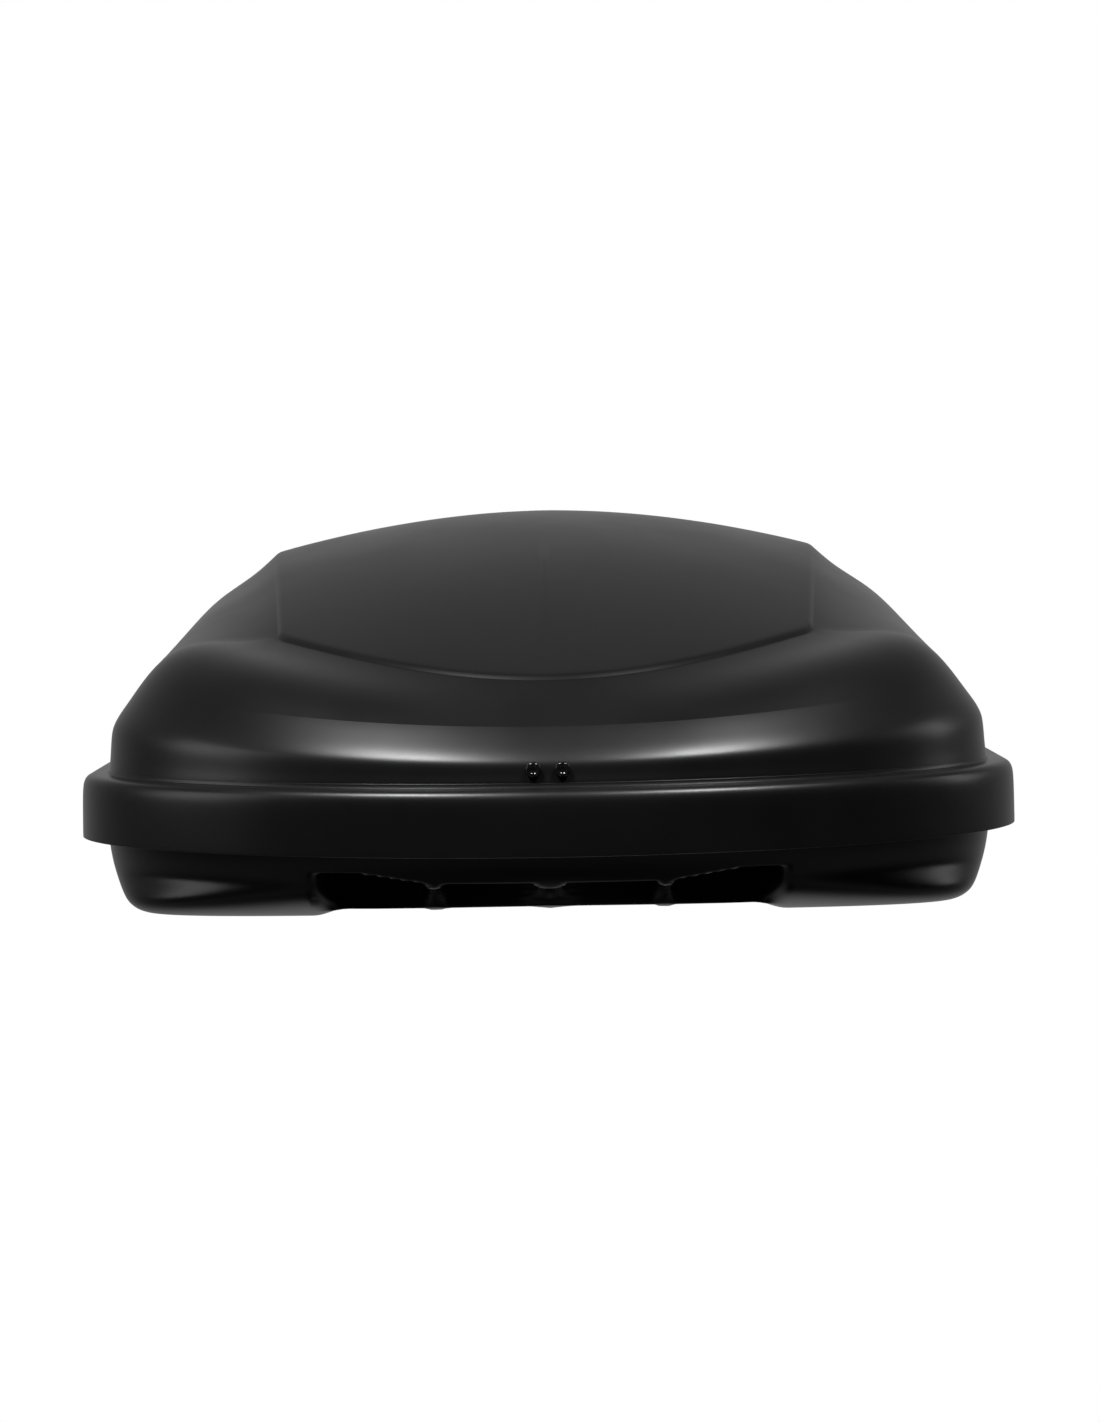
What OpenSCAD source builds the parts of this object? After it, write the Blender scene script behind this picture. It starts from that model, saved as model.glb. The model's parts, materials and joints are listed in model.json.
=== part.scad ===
// Roof cargo box: two thermoformed shells, hinged at the nose and locked at the tail.
// X is the width, the nose points to -Y, Z is up, and the origin is on the runners' plane.

/* [Box] */
// Length over the rim
box_l = 1600; // [1560:10:1700]
// Width over the rim
box_w = 965; // [945:5:985]
// Height of the lid's crown
box_h = 400; // [390:5:430]
// Thickness of the shells
wall = 3.4; // [3:0.1:4]

/* [Rim] */
// Height of the skirt's lower lip
lip_z = 73; // [68:1:80]
// Height of the rim's top
rim_z = 138; // [136:1:140]
// Length of the nose's curve
nose_len = 360; // [340:5:380]
// Length of the tail's curve
tail_len = 150; // [140:5:170]

/* [Lid panel] */
// Half width of the raised panel
panel_hw = 300; // [290:2:310]
// Distance from the rim's tip to the panel's front edge
panel_setback = 145; // [135:1:155]
// How far the panel's front edge bows forward
panel_bow = 180; // [160:5:200]
// Fall of the crown from the centre line to the panel's edge
crown = 42; // [34:1:46]

/* [Hinge] */
// Distance of the hinge pin behind the rim's tip
hinge_back = 16; // [15:0.5:17]
// Height of the hinge pin
hinge_z = 80; // [78:1:82]
// Spacing of the two hinge rivets
rivet_gap = 28; // [24:1:32]

/* [Gas struts] */
// Distance of the struts from the centre line
strut_x = 425; // [422:1:427]
// Place of the lower eye along the box
strut_low_y = -100; // [-110:5:-90]
// Height of the lower eye
strut_low_z = 95; // [90:1:98]
// Place of the upper eye along the box
strut_up_y = -430; // [-435:1:-425]
// Height of the upper eye
strut_up_z = 175; // [173:1:178]

/* [Clamps] */
// Distance of the U-bolts from the centre line
clamp_x = 300; // [290:2:310]
// Distance of the U-bolts from the middle of the box
clamp_y = 330; // [300:5:350]
// Spacing of a U-bolt's legs
leg_gap = 80; // [76:1:84]
// Radius of the U-bolt's rod
leg_r = 4; // [3.5:0.1:4]

/* [Lock] */
// Height of the lock's axis
lock_z = 158; // [157:0.5:159]
// Gear module of the lock's pinion and racks
gear_m = 2; // [2:0.1:2.1]
// Teeth on the lock's pinion
gear_n = 12; // [12:1:12]

/* [Hidden] */

// Points in one half of a ring: nose curve, straight side, tail curve
nose_pts = 11;
side_pts = 6;
tail_pts = 9;

hw = box_w / 2;
nose_y = -box_l / 2;
tail_y = box_l / 2;
nose_mid = nose_y + nose_len;
tail_mid = tail_y - tail_len;
nose_exp = 1.9;
tail_exp = 2.8;

function lerp(a, b, t) = a + (b - a) * t;
function clamp01(t) = min(1, max(0, t));

// ---------- Rings: closed outlines seen from above, from the nose's tip round by +X ----------

// One half of a ring with superellipse ends
function half_ring(a, y0, e0, y1, e1) = concat(
    [for (k = [0:nose_pts - 1]) let (f = 90 * k / nose_pts)
        [a * pow(sin(f), 2 / e0), nose_mid - (nose_mid - y0) * pow(cos(f), 2 / e0)]],
    [for (k = [0:side_pts - 1]) [a, lerp(nose_mid, tail_mid, k / side_pts)]],
    [for (k = [0:tail_pts]) let (f = 90 * k / tail_pts)
        [a * pow(cos(f), 2 / e1), tail_mid + (y1 - tail_mid) * pow(sin(f), 2 / e1)]]);

// Mirrors a half ring and closes it
function full_ring(h) = concat(h, [for (k = [len(h) - 2:-1:1]) [-h[k].x, h[k].y, h[k].z]]);

// A ring's height runs from the nose's value through the side's to the tail's
function ring_z(p, a, z0, z, z1) = let (q = pow(p.x / a, 2))
    p.y < nose_mid ? lerp(z0, z, q) : p.y > tail_mid ? lerp(z1, z, q) : z;

// Row: [side inset, side z, nose inset, nose z, tail inset, tail z, nose exponent]
function row_ring(r) = let (a = hw - r[0], e = is_undef(r[6]) ? nose_exp : r[6])
    full_ring([for (p = half_ring(a, nose_y + r[2], e, tail_y - r[4], tail_exp))
        [p.x, p.y, ring_z(p, a, r[3], r[1], r[5])]]);
function flat_ring(inset, z) = row_ring([inset, z, inset, z, inset, z]);

// ---------- Lid panel ----------

spine_front = -50;
spine_rear = 150;
panel_y0 = nose_y + panel_setback;
panel_rise = 160;
panel_fall = 38;
panel_tail = 692;
panel_tail_mid = 560;
function spine_z(y) = y < spine_front
    ? box_h - panel_rise * pow((spine_front - y) / (spine_front - panel_y0), 1.7)
    : y > spine_rear ? box_h - panel_fall * pow((y - spine_rear) / 550, 2) : box_h;
function roof_z(x, y) = spine_z(y) - crown * pow(x / panel_hw, 2);

// The panel narrows a little towards the nose
function panel_taper(y) = 1 - 0.095 * clamp01((-100 - y) / 375);
function bezier2(a, b, c, t) = lerp(lerp(a, b, t), lerp(b, c, t), t);

// Panel outline, grown outward by g and dropped by d below the roof's surface
function panel_half(g) = let (
        a = panel_hw + g, y0 = panel_y0 - g, b = panel_bow, u = 0.965,
        p0 = [a * u, y0 + b * u * u], p1 = [a, y0 + b], p2 = [a, y0 + b * 1.07])
    concat(
        [for (k = [0:nose_pts - 3]) let (t = u * k / (nose_pts - 3)) [a * t, y0 + b * t * t]],
        [bezier2(p0, p1, p2, 1 / 3), bezier2(p0, p1, p2, 2 / 3)],
        [for (k = [0:side_pts - 1]) [a, lerp(p2.y, panel_tail_mid, k / side_pts)]],
        [for (k = [0:tail_pts]) let (f = 90 * k / tail_pts)
            [a * pow(cos(f), 2 / 3.4),
             panel_tail_mid + (panel_tail + g - panel_tail_mid) * pow(sin(f), 2 / 3.4)]]);
function panel_ring(g, d) = full_ring([for (p = panel_half(g))
    let (x = p.x * panel_taper(p.y)) [x, p.y, roof_z(x, p.y) - d]]);

// The roof inside the panel closes on the spine
function roof_ring(edge, s) = [for (p = edge)
    let (x = p.x * (1 - s), y = p.y * (1 - 0.45 * s)) [x, y, roof_z(x, y)]];

// The facet between the lower crease and the panel swells along the sides
side_swell = 26;
function facet_swell(t) = pow(sin(180 * pow(t, 0.62)), 1.7);
function facet_ring(low, high, t) = [for (k = [0:len(low) - 1])
    let (p = lerp(low[k], high[k], t),
         q = p.y > 600 ? 0.4 : pow(abs(low[k].x) / (hw - 60), 2))
    [p.x, p.y, p.z + side_swell * q * facet_swell(t)]];

skirt_rows = [
    [0, lip_z], [0.5, rim_z - 16], [3.5, rim_z - 6.5], [9, rim_z - 1.2], [15, rim_z],
    [26.5, rim_z], [28.6, rim_z + 3.5]
];
shoulder_rows = [
    [31.5, 178, 31.5, 159, 31.5, 178],
    [36.5, 193, 36.5, 166.5, 34.5, 190],
    [48.5, 209, 48, 179.5, 41, 204],
    [60, 225, 62, 194, 50, 218]
];
crease = row_ring(shoulder_rows[3]);
panel_foot = panel_ring(4, 3);
panel_edge = panel_ring(0, 0.4);
panel_in = panel_ring(-7, 0);
lid_rings = concat(
    [for (r = skirt_rows) flat_ring(r[0], r[1])],
    [for (r = shoulder_rows) row_ring(r)],
    [for (t = [0.15, 0.32, 0.55, 0.8]) facet_ring(crease, panel_foot, t)],
    [panel_foot, panel_edge, panel_in],
    [for (s = [0.3, 0.62, 0.94]) roof_ring(panel_in, s)]);

// ---------- Base tray ----------

centre_hw = 226;
centre_z = 6;
base_rows = [
    [hw - 417, 0, 205, 0, 112, 0, 4.5],
    [48, 9, 138, 14, 92, 9, 3.2],
    [38, 25, 88, 27, 72, 25, 2.3],
    [31.5, 41, 60, 44, 60, 41],
    [26.5, 72, 43, 72, 46, 72],
    [26, 116, 31.5, 116, 31.5, 116],
    [25, 122.5, 29.5, 122.5, 29.5, 122.5],
    [21, 126, 25, 126, 25, 126],
    [8, 126.4, 8, 126.4, 8, 126.4]
];
// The floor's middle is raised between the two runners
function raise_centre(ring, z) = [for (p = ring) [p.x, p.y, abs(p.x) < centre_hw + 4 ? z : 0]];
function centre_ring(a, grow) = full_ring([for (p = half_ring(a, -540 - grow, 4.5, 676 + grow, 4.5))
    [p.x, p.y, 0]]);
base_rings = concat(
    [raise_centre(centre_ring(centre_hw, 0), centre_z),
     raise_centre(centre_ring(centre_hw + 12, 6), centre_z),
     raise_centre(row_ring(base_rows[0]), centre_z)],
    [for (k = [1:len(base_rows) - 1]) row_ring(base_rows[k])]);

// ---------- Shell maker ----------

function unit(v) = v / norm(v);
// Moves every point of the rings inward along the local normal
function inset_rings(r, t) = let (m = len(r), n = len(r[0])) [for (i = [0:m - 1])
    [for (j = [0:n - 1]) let (
            du = r[i][(j + 1) % n] - r[i][(j + n - 1) % n],
            dv = r[min(i + 1, m - 1)][j] - r[max(i - 1, 0)][j])
        r[i][j] - t * unit(cross(du, dv))]];
// A strip across the ring joins each point to its mirror image
function cap_faces(first, n, flip) = [for (j = [0:n / 2 - 1])
    let (a = first + j, b = first + j + 1,
         c = first + (n - j - 1) % n, d = first + (n - j) % n,
         f = j == 0 ? [a, b, c] : j == n / 2 - 1 ? [a, b, d] : [a, b, c, d])
    flip ? [for (k = [len(f) - 1:-1:0]) f[k]] : f];

// A skin of even thickness, closed at one end ring and open at the other
module shell(rings, closed_last) {
    m = len(rings);
    n = len(rings[0]);
    in = m * n;
    pts = [for (r = concat(rings, inset_rings(rings, wall))) each r];
    skins = [for (i = [0:m - 2]) for (j = [0:n - 1])
        let (a = i * n + j, b = i * n + (j + 1) % n, c = b + n, d = a + n)
        each [[a, d, c, b], [in + a, in + b, in + c, in + d]]];
    open = closed_last ? 0 : (m - 1) * n;
    shut = closed_last ? (m - 1) * n : 0;
    lip = [for (j = [0:n - 1])
        let (a = open + j, b = open + (j + 1) % n)
        closed_last ? [a, b, in + b, in + a] : [b, a, in + a, in + b]];
    polyhedron(pts, concat(skins, lip,
        cap_faces(shut, n, closed_last), cap_faces(in + shut, n, !closed_last)));
}

// ---------- Shared places ----------

hinge_y = nose_y + hinge_back;
strap_w = 36;
rivet_z = 155;
floor_z = wall;
rail_t = 4.4;
plate_z = floor_z + rail_t + 0.5;
plate_t = 4;
knob_z = plate_z + plate_t + 0.3;
lock_hole_r = 13;
bar_y = 722;
keeper_x = 332;
bar_w = 8;
pitch_r = gear_m * gear_n / 2;
centre_floor = centre_z + wall;

module at_clamps() {
    for (sx = [-1, 1]) for (sy = [-1, 1]) translate([sx * clamp_x, sy * clamp_y, 0]) children();
}
module rod_x(r, x0, x1) { translate([x0, 0, 0]) rotate([0, 90, 0]) cylinder(r = r, h = x1 - x0, $fn = 48); }
module rod_y(r, y0, y1) { translate([0, y1, 0]) rotate([90, 0, 0]) cylinder(r = r, h = y1 - y0, $fn = 48); }
// Extrudes an outline drawn in Y and Z along X, centred on the middle plane
module across(w) { rotate([90, 0, 90]) linear_extrude(w, center = true) children(); }

// ---------- Shells and seal ----------

module base_shell() color([0.05, 0.05, 0.055]) difference() {
    shell(base_rings, false);
    // Slots for the U-bolts
    at_clamps() translate([-7, -leg_gap / 2 - 13, -1]) cube([14, leg_gap + 26, wall + 3]);
    // Notch in the rim flange for the hinge strap
    translate([-32, nose_y - 5, 119]) cube([64, 36, 20]);
}

module lid_shell() color([0.05, 0.05, 0.055]) difference() {
    shell(lid_rings, true);
    for (s = [-1, 1]) translate([s * rivet_gap / 2, 0, rivet_z]) rod_y(3.2, nose_y + 20, nose_y + 45);
    translate([0, 0, lock_z]) rod_y(lock_hole_r, tail_y - 50, tail_y - 20);
}

seal_z = [130.1, 134.1];
// Opens a ring at the nose, where the hinge strap passes
function cut_ring(r) = let (n = len(r))
    concat([lerp(r[0], r[1], 0.56)], [for (j = [1:n - 1]) r[j]], [lerp(r[0], r[n - 1], 0.56)]);
module rim_seal() color([0.02, 0.02, 0.02]) {
    outer = flat_ring(15, 0);
    inner = flat_ring(23, 0);
    o = cut_ring(outer);
    i = cut_ring(inner);
    m = len(o);
    pts = [for (j = [0:m - 1]) each [
        [o[j].x, o[j].y, seal_z[0]], [i[j].x, i[j].y, seal_z[0]],
        [i[j].x, i[j].y, seal_z[1]], [o[j].x, o[j].y, seal_z[1]]]];
    sides = [for (j = [0:m - 2]) for (k = [0:3])
        let (a = 4 * j + k, b = 4 * j + (k + 1) % 4) [a, a + 4, b + 4, b]];
    e = 4 * (m - 1);
    polyhedron(pts, concat(sides, [[0, 1, 2, 3], [e + 3, e + 2, e + 1, e]]));
}

// A cross rib under the roof
stiff_y = 150;
stiff_hw = 240;
stiff_t = 12;
module lid_stiffener() color([0.09, 0.09, 0.09]) {
    top = [for (k = [-12:12]) let (x = stiff_hw * k / 12) [x, roof_z(x, stiff_y) - wall - 2]];
    low = [for (k = [12:-1:-12]) let (x = stiff_hw * k / 12) [x, roof_z(x, stiff_y) - wall - stiff_t]];
    translate([0, stiff_y, 0]) rotate([90, 0, 0])
        linear_extrude(60, center = true) polygon(concat(top, low));
}

// ---------- Front hinge ----------

pin_r = 3;
eye_r = 6.5;
strap_t = 2.5;
lid_face = nose_y + 32.9 + 0.6;
module hinge_strap() color([0.45, 0.45, 0.47]) {
    z1 = 132.8;
    difference() {
        union() {
            across(strap_w) polygon([
                [hinge_y - strap_t / 2, hinge_z], [hinge_y + strap_t / 2, hinge_z],
                [hinge_y + strap_t / 2, z1 - strap_t], [lid_face + 2.3 + strap_t, z1 - strap_t],
                [lid_face + 2.3 + strap_t, 160.5],
                [lid_face + 4.4, 160.5], [lid_face + 2.3, 157.3], [lid_face + 2.3, z1],
                [hinge_y - strap_t / 2, z1]]);
            translate([0, hinge_y, hinge_z]) rod_x(eye_r, -strap_w / 2, strap_w / 2);
        }
        translate([0, hinge_y, hinge_z]) rod_x(pin_r + 0.05, -strap_w, strap_w);
        for (s = [-1, 1]) translate([s * rivet_gap / 2, 0, rivet_z]) rod_y(3.1, nose_y + 20, nose_y + 50);
    }
}

// Domed heads outside, plain tails inside
module hinge_rivets() color([0.06, 0.06, 0.06])
    for (s = [-1, 1]) translate([s * rivet_gap / 2, 0, rivet_z]) {
        translate([0, nose_y + 29.4, 0]) rotate([90, 0, 0])
            rotate_extrude($fn = 48) polygon([[0, 0], [7.5, 0], [7.5, 1.6], [6.4, 3], [4, 4], [0, 4.4]]);
        rod_y(3, nose_y + 29.4, nose_y + 40);
        rod_y(5, nose_y + 39.3, nose_y + 41.5);
    }

module hinge_bracket() color([0.4, 0.4, 0.42]) {
    ear_x = strap_w / 2 + 0.8;
    difference() {
        union() {
            across(60) polygon([[-761, 74], [-764, 74], [-771.6, 112], [-768.8, 112]]);
            for (s = [-1, 1]) translate([s * (ear_x + 2), 0, 0]) across(4) polygon([
                [-763, 74], [hinge_y, hinge_z - 6.6], [hinge_y - 5, hinge_z - 5], [hinge_y - 7, hinge_z],
                [hinge_y - 5, hinge_z + 5], [hinge_y, hinge_z + 7], [-770, 106]]);
        }
        translate([0, hinge_y, hinge_z]) rod_x(pin_r + 0.02, -60, 60);
        for (s = [-1, 1]) translate([s * 10, 0, 99]) rod_y(2.1, -790, -750);
    }
}

module hinge_pin() color([0.6, 0.6, 0.62]) translate([0, hinge_y, hinge_z]) {
    rod_x(pin_r, -strap_w / 2 - 6, strap_w / 2 + 6);
    rod_x(4.5, strap_w / 2 + 5, strap_w / 2 + 7);
}

module bracket_rivets() color([0.6, 0.6, 0.62]) for (s = [-1, 1]) translate([s * 10, 0, 99]) {
    rod_y(2, -773, -769.6);
    rod_y(4, -773.8, -771.8);
}

// ---------- Gas struts ----------

strut_dy = strut_up_y - strut_low_y;
strut_dz = strut_up_z - strut_low_z;
strut_len = norm([strut_dy, strut_dz]);
strut_tilt = atan2(strut_dz, strut_dy);
strut_eye_r = 9;
stud_r = 5;
eye_hw = 4;
module on_strut(s) translate([s * strut_x, strut_low_y, strut_low_z]) rotate([strut_tilt, 0, 0]) children();
module strut_cylinder(s) color([0.04, 0.04, 0.04]) on_strut(s) difference() {
    union() {
        rod_x(strut_eye_r, -eye_hw, eye_hw);
        rod_y(3.9, 5, 18);
        rod_y(9, 16, strut_len - 40);
    }
    rod_x(stud_r + 0.06, -20, 20);
    rod_y(4.08, 22, strut_len);
}
module strut_rod(s) color([0.7, 0.7, 0.72]) on_strut(s) difference() {
    union() {
        rod_y(4, 28, strut_len - 4);
        rod_y(6, strut_len - 22, strut_len - 6);
        translate([0, strut_len, 0]) rod_x(strut_eye_r, -eye_hw, eye_hw);
    }
    translate([0, strut_len, 0]) rod_x(stud_r + 0.06, -20, 20);
}
module strut_base_stud(s) color([0.5, 0.5, 0.52]) translate([0, strut_low_y, strut_low_z]) scale_x(s) {
    rod_x(stud_r, strut_x - 6, strut_x + 25.5);
    rod_x(7.5, strut_x - 7.5, strut_x - eye_hw - 0.4);
    rod_x(8, strut_x + eye_hw + 0.4, strut_x + 8);
    translate([strut_x + 24.9, -22, -16]) cube([2.5, 44, 32]);
}
module strut_lid_stud(s) color([0.5, 0.5, 0.52]) translate([0, strut_up_y, strut_up_z]) scale_x(s) {
    rod_x(stud_r, strut_x + eye_hw + 0.6, strut_x + 18);
    rod_x(8, strut_x + 8, strut_x + 12);
    translate([strut_x + 17, -18, -14]) cube([2.5, 36, 22.5]);
}
module scale_x(s) { if (s > 0) children(); else mirror([1, 0, 0]) children(); }

// ---------- Rear lock ----------

face_y = tail_y - 28.5;
module lock_housing() color([0.1, 0.1, 0.1]) translate([0, 0, lock_z]) difference() {
    union() {
        rod_y(17, face_y + 0.2, face_y + 3);
        rod_y(lock_hole_r - 0.3, 738, face_y + 1);
        rod_y(18, 754, 760);
        translate([-22, 738, -22]) cube([44, 5, 44]);
    }
    rod_y(9.06, 730, face_y + 10);
}
module lock_plug() color([0.7, 0.7, 0.72]) translate([0, 0, lock_z]) difference() {
    union() {
        rod_y(9, 733, face_y + 3.2);
        rod_y(5, 715, 734);
        rod_y(11, 733, 737);
    }
    translate([-4.2, face_y - 24, -1.3]) cube([8.4, 40, 2.6]);
}

// Involute pinion: one flank from the base circle out to the tip
press = 25;
base_r = pitch_r * cos(press);
tip_r = pitch_r + gear_m;
root_r = pitch_r - 1.25 * gear_m;
thin = 0.12;
function inv(a) = tan(a) * 180 / PI - a;
function flank_angle(r) = let (a = acos(min(1, base_r / r)))
    90 / gear_n - thin * 180 / PI / pitch_r + inv(press) - inv(a);
flank_r = [for (k = [0:5]) lerp(base_r, tip_r, k / 5)];
function polar(r, a) = [r * cos(a), r * sin(a)];
module lock_pinion() color([0.75, 0.7, 0.5]) translate([0, 727, lock_z]) rotate([90, 0, 0]) difference() {
    linear_extrude(10) polygon([for (k = [0:gear_n - 1]) let (c = 90 + 360 / gear_n * k) each concat(
        [polar(root_r, c - flank_angle(base_r))],
        [for (r = flank_r) polar(r, c - flank_angle(r))],
        [for (i = [5:-1:0]) polar(flank_r[i], c + flank_angle(flank_r[i]))],
        [polar(root_r, c + flank_angle(base_r))])]);
    translate([0, 0, -1]) cylinder(r = 5.02, h = 12, $fn = 48);
}

// Flat bar with a rack at its inner end; the rack faces the pinion
module latch_rod(s) color([0.65, 0.65, 0.67]) translate([0, 0, lock_z]) rotate([0, s > 0 ? 0 : 180, 0]) {
    pitch = PI * gear_m;
    flank = gear_m * tan(press);
    root_z = pitch_r + 1.25 * gear_m;
    tip_z = pitch_r - gear_m + 0.1;
    w = pitch / 4 - thin;
    translate([0, bar_y + 4.6, 0]) rotate([90, 0, 0]) linear_extrude(9.2) {
        for (k = [-4:0]) translate([(k + 0.5) * pitch, 0]) polygon([
            [-w - 1.25 * flank, root_z + 0.5], [-w + flank * 0.95, tip_z],
            [w - flank * 0.95, tip_z], [w + 1.25 * flank, root_z + 0.5]]);
        polygon([[-3.5 * pitch - 3, root_z], [46, root_z], [46, -bar_w / 2], [keeper_x - 14, -bar_w / 2],
            [keeper_x - 9, -bar_w / 4], [keeper_x - 9, bar_w / 4], [keeper_x - 14, bar_w / 2],
            [52, bar_w / 2], [52, root_z + 6], [-3.5 * pitch - 3, root_z + 6]]);
    }
}
module rod_guide(s) color([0.1, 0.1, 0.1]) translate([0, 0, lock_z]) scale_x(s) difference() {
    union() {
        translate([188, bar_y - 9, -10]) cube([14, 18, 20]);
        translate([188, bar_y + 8, -4]) cube([14, 28, 8]);
        translate([180, bar_y + 33, -12]) cube([30, 3, 24]);
    }
    translate([170, bar_y - 5, -bar_w / 2 - 0.4]) cube([60, 10, bar_w + 0.8]);
}
module latch_keeper(s) color([0.55, 0.55, 0.57]) scale_x(s) difference() {
    union() {
        across_x(keeper_x, 4) polygon([[710, 96], [725, 80], [735, 116], [735, 171], [710, 171]]);
        // Foot along the base's wall
        translate([keeper_x + 2, 731.5, 94]) rotate([0, 0, -14]) translate([-28, -1.2, 0])
            cube([28, 2.4, 22]);
    }
    translate([keeper_x - 5, bar_y - 5.6, lock_z - bar_w / 2 - 0.8]) cube([14, 11.2, bar_w + 1.6]);
}
// Extrudes an outline drawn in Y and Z from x0 outward
module across_x(x0, w) { translate([x0 + w / 2, 0, 0]) across(w) children(); }

// Key: blade in the plug, ring-shaped bow outside
key_y = face_y + 3.6;
module key() color([0.75, 0.75, 0.77]) translate([0, 0, lock_z]) {
    translate([-3.9, key_y - 22, -1]) cube([7.8, 24, 2]);
    translate([0, 0, -1]) linear_extrude(2) difference() {
        hull() {
            translate([-6, key_y + 0.6]) square([12, 4]);
            translate([0, key_y + 13]) circle(r = 11, $fn = 48);
        }
        translate([0, key_y + 17]) circle(r = 3, $fn = 32);
    }
}

// ---------- Crossbar clamps ----------

rail_w = 60;
rail_half = clamp_y + 90;
module floor_rail(s) color([0.5, 0.5, 0.52]) translate([s * clamp_x, 0, floor_z + 0.2]) difference() {
    union() {
        translate([-rail_w / 2, -rail_half, 0]) cube([rail_w, 2 * rail_half, rail_t]);
        for (e = [-1, 1]) translate([e * (rail_w / 2 - 1.5) - 1.5, -rail_half, 0])
            cube([3, 2 * rail_half, 9]);
    }
    for (e = [-1, 1]) translate([-6, e * clamp_y - leg_gap / 2 - 12, -1]) cube([12, leg_gap + 24, 10]);
    for (e = [-1, 0, 1]) translate([0, e * (clamp_y + 72), -1]) cylinder(r = 2.6, h = 10, $fn = 32);
}
module rail_rivets() color([0.6, 0.6, 0.62])
    for (s = [-1, 1]) for (e = [-1, 0, 1]) translate([s * clamp_x, e * (clamp_y + 72), floor_z + 0.1]) {
        cylinder(r = 2.5, h = rail_t + 1, $fn = 32);
        translate([0, 0, rail_t + 0.2]) cylinder(r = 5.5, h = 2, $fn = 32);
    }
module clamp_plate() color([0.62, 0.62, 0.64]) translate([0, 0, plate_z]) difference() {
    translate([-20, -leg_gap / 2 - 18, 0]) cube([40, leg_gap + 36, plate_t]);
    for (e = [-1, 1]) for (in = [0, 1.6, 3.2]) translate([0, e * (leg_gap / 2 - in), -1])
        cylinder(r = leg_r + 0.5, h = plate_t + 2, $fn = 48);
}
// Rod bent to a U, its bight under the plate and level with the runners
leg_top = 92;
bend_r = 8;
module ubolt() color([0.72, 0.72, 0.74]) {
    bight_z = leg_r + 0.2;
    for (e = [-1, 1]) {
        translate([0, e * leg_gap / 2, bight_z + bend_r]) cylinder(r = leg_r, h = leg_top - bight_z - bend_r, $fn = 48);
        translate([0, e * (leg_gap / 2 - bend_r), bight_z + bend_r]) rotate([90, 0, 90])
            rotate([0, 0, e > 0 ? -90 : 180]) rotate_extrude(angle = 90, $fn = 48)
                translate([bend_r, 0]) circle(r = leg_r, $fn = 48);
    }
    translate([0, 0, bight_z]) rod_y(leg_r, -leg_gap / 2 + bend_r, leg_gap / 2 - bend_r);
}
knob_h = 26;
module knob() color([0.03, 0.03, 0.035]) translate([0, 0, knob_z]) difference() {
    union() {
        cylinder(r = 13, h = 8, $fn = 64);
        cylinder(r = 11, h = knob_h, $fn = 64);
        for (k = [0:2]) rotate(120 * k) translate([0, 0, 10]) {
            translate([21, 0, 0]) cylinder(r = 7.5, h = knob_h - 11, $fn = 48);
            translate([0, -6.5, 0]) cube([20, 13, knob_h - 11]);
        }
    }
    translate([0, 0, -1]) cylinder(r = leg_r + 0.08, h = knob_h + 2, $fn = 48);
}
module clamp_at(sx, sy) translate([sx * clamp_x, sy * clamp_y, 0]) children();
module knob_at(sx, sy, e) clamp_at(sx, sy) translate([0, e * leg_gap / 2, 0]) knob();

// ---------- Load straps ----------

strap_y = 130;
web_w = 25;
anchor_x = 205;
web_z = centre_floor + 0.4;
module strap_anchors() color([0.5, 0.5, 0.52])
    for (sx = [-1, 1]) for (sy = [-1, 1]) translate([sx * anchor_x, sy * strap_y, centre_floor + 0.2]) difference() {
        translate([-12, -18, 0]) cube([24, 36, 9]);
        translate([-8, -web_w / 2 - 1.5, -1]) cube([16, web_w + 3, 7.5]);
        translate([-13, -web_w / 2 - 1.5, -1]) cube([26, web_w + 3, 6.4]);
    }
// Webbing flat on the floor from anchor to anchor, with the free tail folded back on top
module load_strap(s) color([0.06, 0.06, 0.07]) translate([0, s * strap_y, web_z]) rotate([90, 0, 0])
    linear_extrude(web_w, center = true) polygon([
        [-anchor_x + 7, 0], [42, 0], [42, 1.8], [-anchor_x + 9, 1.8], [-anchor_x + 9, 2.8],
        [-150, 2.8], [38, 2.8], [38, 4.6], [-anchor_x + 7, 4.6]]);
buckle_x = 60;
module buckle_frame(s) color([0.6, 0.6, 0.62]) translate([buckle_x, s * strap_y, web_z]) {
    for (e = [-1, 1]) translate([-16, e * (web_w / 2 + 2.6) - 1, 0]) cube([32, 2, 13]);
    translate([-16, -web_w / 2 - 3, 0]) cube([32, web_w + 6, 1.6]);
    translate([16, -web_w / 2, 0.2]) cube([anchor_x - buckle_x - 23, web_w, 1.8]);
}
buckle_pin_z = 9;
module buckle_lever(s) color([0.55, 0.55, 0.57]) translate([buckle_x, s * strap_y, web_z]) {
    translate([-8, 0, buckle_pin_z]) rod_y(2.4, -web_w / 2 - 1, web_w / 2 + 1);
    translate([-8, -web_w / 2 - 1, buckle_pin_z - 1]) cube([32, web_w + 2, 2]);
}

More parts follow.
